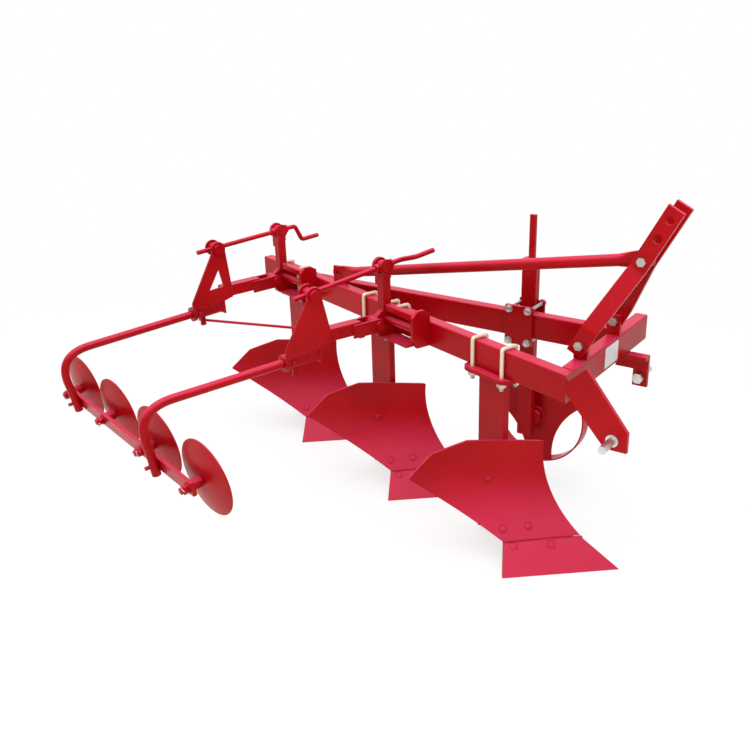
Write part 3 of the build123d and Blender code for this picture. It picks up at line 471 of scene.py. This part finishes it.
def addBlock(mesh, matrix, low, high):
    outline = [(low[0], low[1]), (high[0], low[1]), (high[0], high[1]), (low[0], high[1])]
    addPlate(mesh, matrix, [outline], low[2], high[2] - low[2])


def arc(centre, radius, start, end, count):
    turns = [math.radians(start + (end - start) * index / count) for index in range(count + 1)]
    return [(centre[0] + radius * math.cos(turn), centre[1] + radius * math.sin(turn)) for turn in turns]


# Weld beads are thin sweeps whose rings swell and shrink in turn
bead = {"radius": 0.0028, "thin": 0.0026, "step": 0.0026, "ripple": 0.14, "segments": 8}


def addWeld(mesh, start, end, radius=bead["radius"]):
    count = max(4, int((end - start).length / bead["step"]))
    path = [start.lerp(end, index / count) for index in range(count + 1)]
    addSweep(mesh, path, radius, bead["segments"], bead["ripple"])


def addRingWeld(mesh, matrix, radius, height, beadRadius):
    across = matrix @ Matrix.Translation((radius, 0, height)) @ Matrix.Rotation(math.pi / 2, 4, "X")
    made = bmesh.ops.create_circle(mesh, segments=bead["segments"], radius=beadRadius, matrix=across)
    edges = list({edge for vert in made["verts"] for edge in vert.link_edges})
    bmesh.ops.spin(mesh, geom=made["verts"] + edges, cent=matrix.translation, axis=axisOf(matrix),
                   angle=math.tau, steps=max(24, int(radius * math.tau / bead["step"])), use_merge=True)


pieceEdges = {"smooth": 40, "merge": 0.000002, "bevelSegments": 2}


def soften(piece, width):
    edge = piece.modifiers.new("edges", "BEVEL")
    edge.width = width
    edge.segments = pieceEdges["bevelSegments"]
    edge.limit_method = "ANGLE"
    edge.angle_limit = math.radians(pieceEdges["smooth"])
    return piece


def finishPiece(name, mesh, look, body):
    bmesh.ops.remove_doubles(mesh, verts=mesh.verts, dist=pieceEdges["merge"])
    bmesh.ops.recalc_face_normals(mesh, faces=mesh.faces)
    data = bpy.data.meshes.new(name)
    mesh.to_mesh(data)
    mesh.free()
    data.polygons.foreach_set("use_smooth", [True] * len(data.polygons))
    data.set_sharp_from_angle(angle=math.radians(pieceEdges["smooth"]))
    data.materials.append(finishes[look])
    piece = bpy.data.objects.new(name, data)
    bpy.context.scene.collection.objects.link(piece)
    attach(piece, body)
    return piece


# Nuts under the cream U-bolts of the legs, with washers and a little thread below
uBoltNut = {
    "reach": 0.062,
    "near": 0.0065,
    "far": -0.0465,
    "seat": -0.092,
    "turnPerMetre": 40,
    "washer": 0.015,
    "washerThick": 0.002,
    "washerEdge": 0.0004,
    "width": 0.024,
    "height": 0.013,
    "core": 0.0059,
    "coreFrom": 0.010,
    "coreEdge": 0.0008,
    "tail": 0.027,
    "rod": 0.0065,
    "threadFrom": 0.0155,
    "threadTo": 0.0258,
}


def makeLegNuts():
    mesh = bmesh.new()
    nutFoot = uBoltNut["washerThick"]
    for leg in plough["legs"]:
        for along in (leg - uBoltNut["reach"], leg + uBoltNut["reach"]):
            for out in (uBoltNut["near"], uBoltNut["far"]):
                place = seat(besideBeam(along, out, uBoltNut["seat"]), -up, along * uBoltNut["turnPerMetre"])
                addRound(mesh, place, uBoltNut["washer"], 0, nutFoot, 28, uBoltNut["washerEdge"])
                addHex(mesh, place, uBoltNut["width"], nutFoot, nutFoot + uBoltNut["height"])
                addRound(mesh, place, uBoltNut["core"], uBoltNut["coreFrom"], uBoltNut["tail"], 20,
                         uBoltNut["coreEdge"])
                addThread(mesh, place, uBoltNut["rod"], uBoltNut["threadFrom"], uBoltNut["threadTo"])
    finishPiece("leg_bolt_nuts", mesh, "zinc", "frame")


# Cream U-bolt that holds the front bracket to the beam
bracketBolt = {"at": 0.733, "near": 0.0065, "far": -0.0465, "top": 0.0065, "foot": -0.078, "rod": 0.006,
               "bend": 0.011, "bendSteps": 5, "segments": 16}


def makeBracketBolt():
    mesh = bmesh.new()
    near, far, top, foot = (bracketBolt[key] for key in ("near", "far", "top", "foot"))
    corners = ((near, foot), (near, top), (far, top), (far, foot))
    path = roundedPath([besideBeam(bracketBolt["at"], out, height) for out, height in corners],
                       [bracketBolt["bend"]] * 2, bracketBolt["bendSteps"])
    addSweep(mesh, path, bracketBolt["rod"], bracketBolt["segments"])
    finishPiece("bracket_u_bolt", mesh, "cream", "frame")


# Foot plates welded under the brackets of the arms
footPlate = {"ats": (0.740, 1.398), "along": (-0.130, 0.012), "out": (0.002, 0.060), "height": (-0.086, -0.078),
             "edge": 0.0012}


def makeFootPlates():
    mesh = bmesh.new()
    place = Matrix((rearward, outward, up)).transposed().to_4x4()
    place.translation = besideBeam(0, 0, 0)
    for at in footPlate["ats"]:
        along = [at + reach for reach in footPlate["along"]]
        low, high = zip(along, footPlate["out"], footPlate["height"])
        addBlock(mesh, place, low, high)
    soften(finishPiece("bracket_foot_plates", mesh, "frameRed", "frame"), footPlate["edge"])


makeLegNuts()
makeBracketBolt()
makeFootPlates()
print("U-bolts, nuts and foot plates made")


# Round heads nearly flush in the boards and shares, each in a fine dark ring of painted shade that stands for the
# shadow in the groove round the head
boardBolts = {
    "share": ((0.185, 0.088), (0.296, 0.091)),
    "board": ((0.244, 0.098), (0.320, 0.097), (0.356, 0.234)),
    "castAbove": 0.2,
    "castAhead": 0.3,
    "radius": 0.0105,
    "sunk": -0.001,
    "proud": 0.0003,
    "edge": 0.0002,
    "gap": 0.0001,
    # Outer reach and height of the dark ring of painted shade round each head
    "rim": 0.0016,
    "grooveShadeProud": 0.0005,
    "segments": 40,
}
# Strip that closes the joint between a share's upper edge and the board above it
boardSeam = {
    "from": 0.087,
    "to": 0.324,
    "section": [(0.0782, 0.0626), (0.0912, 0.0640), (0.0912, 0.0600), (0.0838, 0.0585)],
}


def castOn(name, start, heading):
    mesh = bmesh.new()
    mesh.from_mesh(nodes[name].data)
    place, normal = BVHTree.FromBMesh(mesh).ray_cast(start, heading)[:2]
    mesh.free()
    return place, normal if normal.dot(heading) < 0 else -normal


def makeBoardBolts():
    turn, rise = math.radians(plough["shareAngle"]), math.radians(plough["shareSlope"])
    alongEdge = Vector((-math.cos(turn), -math.sin(turn), 0))
    behindEdge = Vector((-math.sin(turn), math.cos(turn), 0))
    slope = behindEdge * math.cos(rise) + up * math.sin(rise)
    front = Vector((plough["front"], plough["right"], 0))
    radius, sunk, segments = boardBolts["radius"], boardBolts["sunk"], boardBolts["segments"]
    for index in range(plough["bodies"]):
        number = index + 1
        tip = front + rearward * plough["bodySpacing"] * index + Vector((plough["tipAhead"], plough["tipInside"], 0))
        above, ahead = up * boardBolts["castAbove"], behindEdge * boardBolts["castAhead"]
        places = [castOn("share_%d" % number, tip + alongEdge * along + slope * height + above, -up)
                  for along, height in boardBolts["share"]]
        places += [castOn("mouldboard_%d" % number, tip + alongEdge * along + up * height - ahead, behindEdge)
                   for along, height in boardBolts["board"]]
        heads = bmesh.new()
        rims = bmesh.new()
        for place, normal in places:
            head = seat(place, normal)
            addRound(heads, head, radius, sunk, boardBolts["proud"], segments, boardBolts["edge"])
            # A thin dark ring round each head: painted shade of the groove
            addRing(rims, head, radius + boardBolts["gap"], radius + boardBolts["rim"], sunk,
                    boardBolts["grooveShadeProud"], segments)
        finishPiece("board_bolts_%d" % number, heads, "boardRed", "frame")
        finishPiece("board_bolt_groove_shades_%d" % number, rims, "grooveShadeRed", "frame")
        seam = bmesh.new()
        place = Matrix((behindEdge, up, alongEdge)).transposed().to_4x4()
        place.translation = tip
        addPlate(seam, place, [boardSeam["section"]], boardSeam["from"], boardSeam["to"] - boardSeam["from"])
        finishPiece("board_seam_%d" % number, seam, "boardRed", "frame")


makeBoardBolts()
print("board bolts and seams made")


# Gauge wheel: a thin rim with a web on its near side, cut out by three shallow arcs
wheel = {
    "x": plough["front"] - 0.323,
    "z": plough["beamTop"] - 0.386,
    "near": 0.5356,
    "width": 0.045,
    "radius": 0.169,
    "rim": 0.005,
    "rimBite": 0.4,
    "rimSegments": 120,
    "web": 0.005,
    "webBack": 0.001,
    "arms": 3,
    "arcRadius": 0.225,
    "arcCentre": 0.312,
    "arcTurn": -24,
    "arcSteps": 24,
    "rimSteps": 10,
    "hub": 0.030,
    "hubProud": 0.005,
    "bore": 0.0145,
    "weldHeight": 0.0002,
    "edge": 0.0009,
}
wheelPlace = Matrix(((1, 0, 0, wheel["x"]), (0, 0, 1, 0), (0, 1, 0, wheel["z"]), (0, 0, 0, 1)))


def wheelOutline():
    inside = wheel["radius"] - wheel["rim"] * wheel["rimBite"]
    reach, centre = wheel["arcRadius"], wheel["arcCentre"]
    half = math.acos((inside ** 2 + centre ** 2 - reach ** 2) / (2 * inside * centre))
    lean = math.degrees(math.asin(inside * math.sin(half) / reach))
    half = math.degrees(half)
    step = 360 / wheel["arms"]
    outline = []
    for index in range(wheel["arms"]):
        turn = wheel["arcTurn"] + step * index
        middle = (centre * math.cos(math.radians(turn)), centre * math.sin(math.radians(turn)))
        outline += arc(middle, reach, turn + 180 + lean, turn + 180 - lean, wheel["arcSteps"])[1:-1]
        outline += arc((0, 0), inside, turn + half, turn + step - half, wheel["rimSteps"])
    return outline


def makeWheel():
    mesh = bmesh.new()
    near, far = wheel["near"], wheel["near"] + wheel["width"]
    addRing(mesh, wheelPlace, wheel["radius"] - wheel["rim"], wheel["radius"], near, far, wheel["rimSegments"])
    addPlate(mesh, wheelPlace, [wheelOutline()], near + wheel["webBack"], wheel["web"])
    addRing(mesh, wheelPlace, wheel["bore"], wheel["hub"], near - wheel["hubProud"], far, 48)
    addRingWeld(mesh, wheelPlace, wheel["hub"], near + wheel["weldHeight"], bead["thin"])
    piece = finishPiece("gauge_wheel_spokes", mesh, "frameRed", "gauge_wheel")
    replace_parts(soften(piece, wheel["edge"]), "gauge_wheel")


# Flat post of the wheel, its thin upper bar, and its axle with a collar each side of the wheel
post = {
    "x": plough["front"] - 0.343,
    "half": 0.025,
    "near": 0.4859,
    "far": 0.5119,
    "foot": -0.445,
    "top": 0.160,
    "barHalf": 0.010,
    "barShift": 0.004,
    "barNear": 0.490,
    "barFar": 0.502,
    "barTop": 0.298,
    "sunk": 0.004,
    "axle": 0.014,
    "axleBeyond": 0.006,
    "collar": 0.022,
    "collarEdge": 0.001,
    "collarGap": 0.0006,
    "weld": 0.0024,
    "weldHeight": 0.0004,
    "edge": 0.0012,
}
postPlace = Matrix.Translation((post["x"], 0, plough["beamTop"]))


def makePost():
    mesh = bmesh.new()
    half, near, far, top = (post[key] for key in ("half", "near", "far", "top"))
    addBlock(mesh, postPlace, (-half, near, post["foot"]), (half, far, top))
    low, high = post["barShift"] - post["barHalf"], post["barShift"] + post["barHalf"]
    addBlock(mesh, postPlace, (low, post["barNear"], top - post["sunk"]), (high, post["barFar"], post["barTop"]))
    collar, edge = post["collar"], post["collarEdge"]
    hubNear, hubFar = wheel["near"] - wheel["hubProud"], wheel["near"] + wheel["width"]
    axleEnd = hubFar + post["axleBeyond"]
    addRound(mesh, wheelPlace, post["axle"], far - post["sunk"], axleEnd, 40, edge)
    addRound(mesh, wheelPlace, collar, far - edge, hubNear - post["collarGap"], 40, edge)
    addRound(mesh, wheelPlace, collar, hubFar + edge, axleEnd, 40, edge)
    addRingWeld(mesh, wheelPlace, collar, far + post["weldHeight"], post["weld"])
    for across in (post["barNear"], post["barFar"]):
        addWeld(mesh, postPlace @ Vector((low, across, top)), postPlace @ Vector((high, across, top)), bead["thin"])
    piece = finishPiece("wheel_post_bar", mesh, "frameRed", "wheel_post")
    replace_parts(soften(piece, post["edge"]), "wheel_post")


makeWheel()
makePost()
print("wheel and post made")


# Two plates, two side bars and four zinc bolts clamp the post to the land beam
clamp = {
    "x": plough["front"] - 0.343,
    "half": 0.047,
    "top": 0.024,
    "foot": -0.104,
    "near": 0.4216,
    "thick": 0.012,
    "backNear": 0.5124,
    "backFar": 0.5214,
    "backInset": 0.003,
    "backTop": 0.022,
    "sideGap": 0.0006,
    "sideThick": 0.005,
    "sideNear": 0.4738,
    "sideFar": 0.5134,
    "sideFoot": -0.080,
    "sideTop": -0.024,
    "edge": 0.0012,
}
clampBolt = {
    "half": 0.0325,
    "heights": (0.0125, -0.0925),
    "end": 0.5346,
    "shank": 0.006,
    "core": 0.0056,
    "coreEdge": 0.0008,
    "sunk": 0.001,
    "threadLength": 0.030,
    "washer": 0.0125,
    "washerThick": 0.002,
    "washerEdge": 0.0004,
    "width": 0.019,
    "headHeight": 0.008,
    "nutHeight": 0.0085,
    "turnPerMetre": 9,
}


def addClampBolt(mesh, head):
    thick, width = clampBolt["washerThick"], clampBolt["width"]
    washer = clampBolt["washer"], clampBolt["washerEdge"]
    end, back = clamp["near"] - clampBolt["end"], clamp["near"] - clamp["backFar"]
    addRound(mesh, head, washer[0], 0, thick, 32, washer[1])
    addHex(mesh, head, width, thick, thick + clampBolt["headHeight"])
    addRound(mesh, head, clampBolt["core"], end, clampBolt["sunk"], 20, clampBolt["coreEdge"])
    addThread(mesh, head, clampBolt["shank"], end + clampBolt["coreEdge"], end + clampBolt["threadLength"])
    addRound(mesh, head, washer[0], back - thick, back, 32, washer[1])
    addHex(mesh, head, width, back - thick, back - thick - clampBolt["nutHeight"])


def makeClamp():
    plates = bmesh.new()
    bolts = bmesh.new()
    place = Matrix.Translation((clamp["x"], 0, plough["beamTop"]))
    half, near, foot = clamp["half"], clamp["near"], clamp["foot"]
    backHalf = half - clamp["backInset"]
    addBlock(plates, place, (-half, near, foot), (half, near + clamp["thick"], clamp["top"]))
    addBlock(plates, place, (-backHalf, clamp["backNear"], foot), (backHalf, clamp["backFar"], clamp["backTop"]))
    inner = post["half"] + clamp["sideGap"]
    for side in (-1, 1):
        low, high = sorted((side * inner, side * (inner + clamp["sideThick"])))
        addBlock(plates, place, (low, clamp["sideNear"], clamp["sideFoot"]),
                 (high, clamp["sideFar"], clamp["sideTop"]))
        for height in clampBolt["heights"]:
            turn = side + height * clampBolt["turnPerMetre"]
            centre = place @ Vector((side * clampBolt["half"], near, height))
            addClampBolt(bolts, seat(centre, Vector((0, -1, 0)), turn))
    piece = finishPiece("wheel_clamp_plates", plates, "frameRed", "frame")
    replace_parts(soften(piece, clamp["edge"]), "wheel_clamp", "wheel_sleeve")
    finishPiece("wheel_clamp_bolts", bolts, "zinc", "frame")


makeClamp()
print("wheel clamp made")


# Arms: cheeks on the pivot, a box arm, the web with its eye, and the sleeve of the bent tube below it.
# Places are across the beam and up from the pivot, in the plane square to the beam.
arms = (
    {"name": "front", "at": 0.740, "droop": 0.0, "eye": (0.232, 0.144), "slide": 0.0},
    {"name": "rear", "at": 1.398, "droop": 2.1, "eye": (0.216, 0.166), "slide": 0.021},
)
armShape = {
    "pivot": (0.085, -0.033),
    "cheek": 0.008,
    "cheekEnd": 0.096,
    "knuckle": 0.022,
    "stopLow": (0.025, -0.046),
    "stopHigh": (0.045, -0.018),
    "box": 0.040,
    "boxFrom": 0.063,
    "boxTo": 0.215,
    "boxMiddle": 0.006,
    "web": (-0.030, 0.010),
    "webFoot": ((0.182, 0.028), (0.182, -0.014), (0.222, -0.024), (0.338, -0.034), (0.339, -0.006)),
    "eyeRadius": 0.027,
    "eyeArc": (-20, 200, 22),
    "window": ((0.224, 0.096), (0.213, 0.031), (0.269, 0.026)),
    "sleeveFrom": (0.218, -0.046),
    "sleeveTo": (0.777, -0.072),
    "sleeve": 0.022,
    "sleeveBore": 0.0142,
    "sleeveLength": 0.120,
    "collar": 0.026,
    "collarWidth": 0.014,
    "collarProud": 0.001,
    "endPlate": (0.004, 0.028, 0.026),
    "lug": (0.297, -0.082),
    "lugHalf": (0.009, 0.019, 0.006),
    "edge": 0.0016,
}
armBeads = {
    "box": (0.184, 0.214),
    "boxBelow": 0.0005,
    "web": ((0.226, -0.026), (0.334, -0.035)),
    "webRadius": 0.0034,
    "cheek": (0.0965, -0.012, 0.020),
    "plate": (0.017, 0.004),
    "plateBack": 0.005,
    "plateBelow": 0.001,
    "sleeve": 0.0050,
}
setScrew = {"back": 0.026, "width": 0.014, "height": 0.009, "sunk": 0.001}
# Dark disc of painted shade that stands for a hole in the arm tube
tubeHoleShade = {"ahead": 0.058, "rise": 0.0086, "radius": 0.0045, "depth": -0.002, "proud": 0.0004, "edge": 0.0002}


def armPlace(arm):
    droop = math.radians(arm["droop"])
    along = outward * math.cos(droop) - up * math.sin(droop)
    place = Matrix((along, rearward.cross(along), rearward)).transposed().to_4x4()
    place.translation = besideBeam(arm["at"], *armShape["pivot"])
    return place


def addBoxAt(mesh, place, centre, half):
    low, high = ([spot + side * reach for spot, reach in zip(centre, half)] for side in (-1, 1))
    addBlock(mesh, place, low, high)


def webOutlines(arm):
    foot = list(armShape["webFoot"])
    cap = arc(arm["eye"], armShape["eyeRadius"], *armShape["eyeArc"])
    if arm["name"] == "front":
        return [foot + cap]
    top, inner, outer = armShape["window"]
    summit = len(cap) // 2
    first = [foot[0], foot[1], foot[2], inner, top] + cap[summit:]
    second = [foot[2], foot[3], foot[4]] + cap[:summit + 1] + [top, outer, inner]
    return [first, second]


def sleeveLine():
    start = Vector((*armShape["sleeveFrom"], 0))
    return start, (Vector((*armShape["sleeveTo"], 0)) - start).normalized()


def makeArmPlates(arm, place, bore):
    mesh = bmesh.new()
    knuckle, cheek, half = armShape["knuckle"], armShape["cheek"], armShape["box"] / 2
    cheekEnd, middle = armShape["cheekEnd"], armShape["boxMiddle"]
    outline = arc((0, 0), knuckle, 90, 270, 20) + [(cheekEnd, -knuckle), (cheekEnd, knuckle)]
    addPlate(mesh, place, [outline], half, cheek)
    addPlate(mesh, place, [outline], -half - cheek, cheek)
    if arm["name"] == "front":
        addBlock(mesh, place, (*armShape["stopLow"], half), (*armShape["stopHigh"], half + cheek))
    addBlock(mesh, place, (armShape["boxFrom"], middle - half, -half), (armShape["boxTo"], middle + half, half))
    addPlate(mesh, place, webOutlines(arm), *armShape["web"])
    inner, length = armShape["sleeveBore"], armShape["sleeveLength"]
    addRing(mesh, bore, inner, armShape["sleeve"], 0, length, 48)
    addRing(mesh, bore, inner, armShape["collar"], length - armShape["collarWidth"],
            length + armShape["collarProud"], 48)
    endPlate = armShape["endPlate"]
    addBoxAt(mesh, place, (armShape["sleeveFrom"][0], middle - half - endPlate[1], 0), endPlate)
    addBoxAt(mesh, place, (*armShape["lug"], 0), armShape["lugHalf"])
    piece = finishPiece("arm_frame_%s_plates" % arm["name"], mesh, "frameRed", "gang")
    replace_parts(soften(piece, armShape["edge"]), "arm_frame_" + arm["name"])


def makeArmBeads(arm, place, bore):
    mesh = bmesh.new()
    half = armShape["box"] / 2
    below = armShape["boxMiddle"] - half
    front = sum(armShape["web"])
    boxUnder, plateUnder = below - armBeads["boxBelow"], below - armBeads["plateBelow"]
    plateFace = armShape["sleeveFrom"][0] - armBeads["plateBack"]
    boxFrom, boxTo = armBeads["box"]
    webFrom, webTo = armBeads["web"]
    cheekX, cheekLow, cheekHigh = armBeads["cheek"]
    plateOuter, plateInner = armBeads["plate"]
    lines = [((boxFrom, boxUnder, -half), (boxTo, boxUnder, -half), bead["radius"]),
             ((*webFrom, front), (*webTo, front), armBeads["webRadius"])]
    for side in (-1, 1):
        lines.append(((cheekX, cheekLow, side * half), (cheekX, cheekHigh, side * half), bead["thin"]))
        lines.append(((plateFace, plateUnder, side * plateOuter), (plateFace, plateUnder, side * plateInner),
                      bead["thin"]))
    for start, end, radius in lines:
        addWeld(mesh, place @ Vector(start), place @ Vector(end), radius)
    addRingWeld(mesh, bore, armShape["sleeve"], armBeads["sleeve"], bead["radius"])
    finishPiece("arm_frame_%s_beads" % arm["name"], mesh, "frameRed", "gang")


def makeSetScrew(arm, place):
    start, way = sleeveLine()
    flip = place.to_3x3().to_4x4() @ Matrix.Rotation(math.pi, 4, "X")
    seatPoint = start + way * (armShape["sleeveLength"] - setScrew["back"])
    seatPoint.z = setScrew["sunk"] - armShape["sleeve"]
    screw = bmesh.new()
    addHex(screw, Matrix.Translation(place @ seatPoint) @ flip, setScrew["width"], 0.0, setScrew["height"])
    finishPiece("arm_set_screw_" + arm["name"], screw, "frameRed", "gang")
    # A dark disc on the tube stands for its hole: painted shade, in the thread finish
    spot = seatPoint + way * tubeHoleShade["ahead"] + Vector((0, 0, tubeHoleShade["rise"]))
    hole = bmesh.new()
    addRound(hole, Matrix.Translation(place @ spot) @ flip, tubeHoleShade["radius"], tubeHoleShade["depth"],
             tubeHoleShade["proud"], 28, tubeHoleShade["edge"])
    finishPiece("arm_tube_hole_shade_" + arm["name"], hole, "thread", "gang")


def makeArmFrame(arm):
    place = armPlace(arm)
    start, way = sleeveLine()
    bore = seat(place @ start, place.to_3x3() @ way)
    makeArmPlates(arm, place, bore)
    makeArmBeads(arm, place, bore)
    makeSetScrew(arm, place)


# Round cheeks each side of the trunnions, as large as the eyes they close
trunnion = {
    "post": (0.045, 0.148),
    "ring": 0.0245,
    "inner": 0.0175,
    "half": 0.013,
    "ringGap": 0.0065,
    "ringThick": 0.005,
    "footLow": (-0.015, -0.036),
    "footHigh": (0.015, -0.0195),
    "head": 0.0165,
    "headSunk": 0.001,
    "headProud": 0.0015,
    "headEdge": 0.0008,
    "cheek": 0.0275,
    "cheekBore": 0.010,
    "cheekThick": 0.007,
}


def makeTrunnionRings(arm):
    name, half = arm["name"], trunnion["half"]
    offset = [spot - pivot for spot, pivot in zip(trunnion["post"], armShape["pivot"])]
    eye = armPlace({**arm, "droop": 0.0}) @ Matrix.Translation((*offset, 0))
    front = -half - trunnion["ringGap"]
    back = front + trunnion["ringThick"]
    ring = bmesh.new()
    addRing(ring, eye, trunnion["inner"], trunnion["ring"], front, back, 56)
    addBlock(ring, eye, (*trunnion["footLow"], front), (*trunnion["footHigh"], back))
    finishPiece("post_eye_ring_" + name, ring, "frameRed", "frame")
    head = bmesh.new()
    addRound(head, eye, trunnion["head"], trunnion["headSunk"] - half, front - trunnion["headProud"], 48,
             trunnion["headEdge"])
    finishPiece("post_trunnion_head_" + name, head, "frameRed", "crank_" + name)
    cheek = bmesh.new()
    own = armPlace(arm) @ Matrix.Translation((*arm["eye"], 0))
    addRing(cheek, own, trunnion["cheekBore"], trunnion["cheek"], half, half + trunnion["cheekThick"], 56)
    finishPiece("arm_trunnion_cheek_" + name, cheek, "frameRed", "arm_nut_" + name)


# Bent tubes of the arms: one wide bend down to the gang bar
tube = {
    "path": ((0.218, -0.046), (0.803, -0.0732), (0.7728, -0.215), (0.763, -0.282)),
    "reaches": (0.115, 0.028),
    "bendSteps": 14,
    "radius": 0.0135,
    "segments": 32,
    "edge": 0.0012,
}


def makeTubes():
    mesh = bmesh.new()
    corners = [Vector((*corner, 0)) for corner in tube["path"]]
    way = (corners[1] - corners[0]).normalized()
    for arm in arms:
        place = armPlace(arm)
        path = [place @ (corner + way * arm["slide"]) for corner in corners]
        addSweep(mesh, roundedPath(path, tube["reaches"], tube["bendSteps"]), tube["radius"], tube["segments"])
    piece = finishPiece("arm_tubes_bent", mesh, "frameRed", "gang")
    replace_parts(soften(piece, tube["edge"]), "arm_tubes")


# Discs bulge towards the bar. Along the axis, zero is the place of the solid disc's middle.
disc = {
    "places": ((0.02974, -0.51890, 0.36215), (-0.27287, -0.42221, 0.34781),
               (-0.57547, -0.32551, 0.33347), (-0.87807, -0.22882, 0.31913)),
    "axis": Vector((0.194421, 0.971902, 0.132694)),
    "radius": 0.115,
    "near": -0.030,
    "rise": 0.016,
    "curve": 1.6,
    "steps": 18,
    "thick": 0.004,
    "flat": 0.024,
    "bore": 0.0104,
    "segments": 96,
    "edge": 0.0008,
}
# Radius, start, end, segments and edge of the rounds on an axle: housing, spacer, axle and washer
axle = {
    "rounds": ((0.0165, -0.066, -0.0335, 48, 0.0015), (0.0125, -0.0345, -0.0303, 36, 0.0),
               (0.0100, -0.096, -0.010, 36, 0.0012), (0.0165, -0.077, -0.070, 40, 0.0008)),
    "farNut": (0.028, -0.0254, -0.0154),
    "nearNut": (0.026, -0.0768, -0.0885),
    "turnPerDisc": 0.7,
    "pin": -0.0922,
    "pinRadius": 0.0018,
    "pinGap": 0.0012,
    "pinPath": ((0, -0.0135, 0), (0, 0.0105, 0)),
    "pinSpread": (0.008, 0.014),
}


def makeDisc(number, place):
    mesh = bmesh.new()
    near = [(disc["bore"], disc["near"])]
    for index in range(disc["steps"] + 1):
        share = index / disc["steps"]
        near.append((disc["flat"] + (disc["radius"] - disc["flat"]) * share,
                     disc["near"] + disc["rise"] * share ** disc["curve"]))
    far = [(out, along + disc["thick"]) for out, along in reversed(near)]
    addTurned(mesh, place, near + far, disc["segments"])
    piece = finishPiece("disc_%d_plate" % number, mesh, "discRed", "disc_%d" % number)
    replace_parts(soften(piece, disc["edge"]), "disc_%d" % number)


def addSplitPin(mesh, nut):
    for side in (-1, 1):
        leg = nut @ Matrix.Translation((side * axle["pinGap"], 0, axle["pin"]))
        spread, reach = axle["pinSpread"]
        path = [leg @ Vector(spot) for spot in (*axle["pinPath"], (side * spread, reach, 0))]
        addSweep(mesh, path, axle["pinRadius"], 10)


def makeDiscs():
    axles = bmesh.new()
    pins = bmesh.new()
    for number, centre in enumerate(disc["places"], 1):
        place = seat(Vector(centre), disc["axis"])
        makeDisc(number, place)
        for radius, start, end, segments, edge in axle["rounds"]:
            addRound(axles, place, radius, start, end, segments, edge)
        addHex(axles, place, *axle["farNut"])
        nut = place @ Matrix.Rotation(number * axle["turnPerDisc"], 4, "Z")
        addHex(axles, nut, *axle["nearNut"])
        addSplitPin(pins, nut)
    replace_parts(finishPiece("disc_axle_rods", axles, "frameRed", "gang"), "disc_axles")
    finishPiece("axle_split_pins", pins, "zinc", "gang")


for arm in arms:
    makeArmFrame(arm)
    makeTrunnionRings(arm)
makeTubes()
makeDiscs()
print("arms and discs made")


# Blank pale plate on the cross beam, where the real one carries its label
labelPlate = {"from": 0.258, "to": 0.352, "low": -0.070, "high": -0.008, "thick": 0.0008, "corner": 0.005}


def makeLabel():
    mesh = bmesh.new()
    thick, start, end = labelPlate["thick"], labelPlate["from"], labelPlate["to"]
    low, high = labelPlate["low"], labelPlate["high"]
    centre = Vector((plough["front"] + thick / 2, plough["right"] + (start + end) / 2,
                     plough["beamTop"] + (low + high) / 2))
    size = Matrix.Diagonal((thick, end - start, high - low, 1))
    bmesh.ops.create_cube(mesh, size=1, matrix=Matrix.Translation(centre) @ size)
    uprights = [edge for edge in mesh.edges if abs(edge.verts[0].co.x - edge.verts[1].co.x) > thick / 2]
    bmesh.ops.bevel(mesh, geom=uprights, offset=labelPlate["corner"], affect="EDGES", segments=4,
                    profile=0.5, material=-1)
    finishPiece("blank_label", mesh, "label", "frame")


makeLabel()
print("label made")
